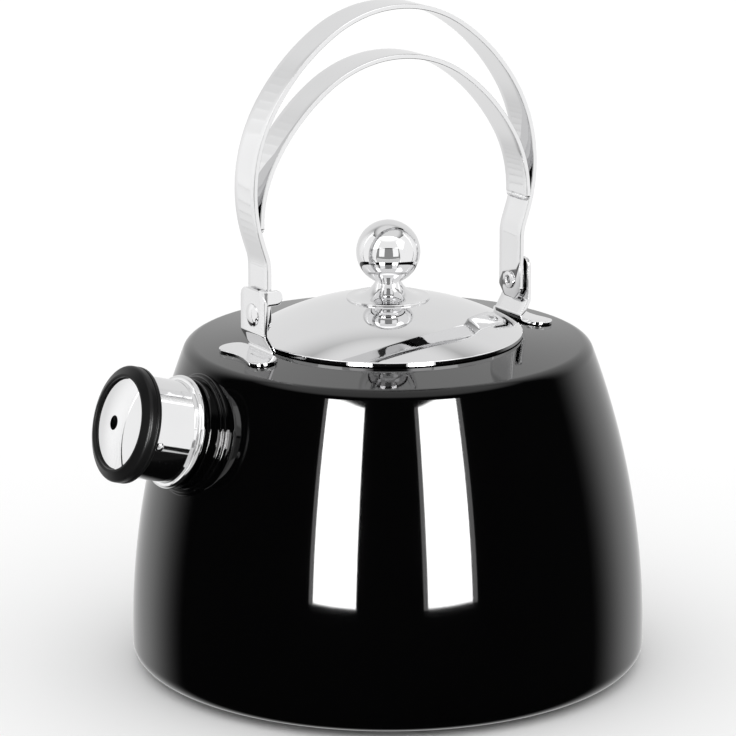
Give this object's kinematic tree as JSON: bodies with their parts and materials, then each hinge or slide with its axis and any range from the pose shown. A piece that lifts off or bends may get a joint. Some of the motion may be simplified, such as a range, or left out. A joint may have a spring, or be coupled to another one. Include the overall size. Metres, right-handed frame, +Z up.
{
  "type": "whistling kettle",
  "caption": "Stovetop kettle with a fold-down strap handle, lift-off domed lid with a ball knob, and a pull-off whistle cap on its short spout.",
  "frame": {"origin": "centre of the base on the kettle's axis, at the level it stands on", "axes": "+Z up along the kettle's axis; the spout points to -X; the handle's hinge line runs along X"},
  "size_m": [0.2219, 0.2, 0.2578],
  "materials": {
    "black_enamel": "glossy black stoved coating on steel",
    "polished_steel": "mirror-polished stainless steel",
    "plain_steel": "plain turned stainless steel",
    "aluminium_core": "pressed aluminium plate",
    "black_plastic": "satin black heat-resistant plastic"
  },
  "bodies": {
    "kettle": {"body_shell": "black_enamel", "base_pan": "plain_steel", "heat_spreader": "aluminium_core", "base_cap": "plain_steel", "spout_tube": "black_enamel", "spout_flange": "black_enamel", "bracket_front": "polished_steel", "bracket_rear": "polished_steel", "bracket_welds": "polished_steel", "handle_rivets": "polished_steel", "rivet_washers": "polished_steel"},
    "handle": {"handle_outer": "polished_steel", "handle_inner": "polished_steel", "handle_welds": "polished_steel"},
    "lid": {"lid_shell": "polished_steel", "lid_skirt": "polished_steel", "knob_base": "polished_steel", "knob_ball": "polished_steel", "knob_screw": "polished_steel", "knob_washer": "polished_steel"},
    "whistle": {"whistle_sleeve": "polished_steel", "whistle_grip": "black_plastic", "whistle_front_disc": "polished_steel", "whistle_back_disc": "polished_steel", "whistle_spacer": "polished_steel", "whistle_pins": "polished_steel"}
  },
  "joints": [
    {"name": "handle_hinge", "type": "hinge", "parent": "kettle", "child": "handle", "pos_m": [0, 0, 0.144], "axis": [-1, 0, 0], "range_deg": [0, 93]},
    {"name": "lid_lift", "type": "slide", "parent": "kettle", "child": "lid", "axis": [0, 0, 1], "range_m": [0, 0.015]},
    {"name": "whistle_pull", "type": "slide", "parent": "kettle", "child": "whistle", "axis": [-0.9613, 0, 0.2756], "range_m": [0, 0.03]}
  ]
}
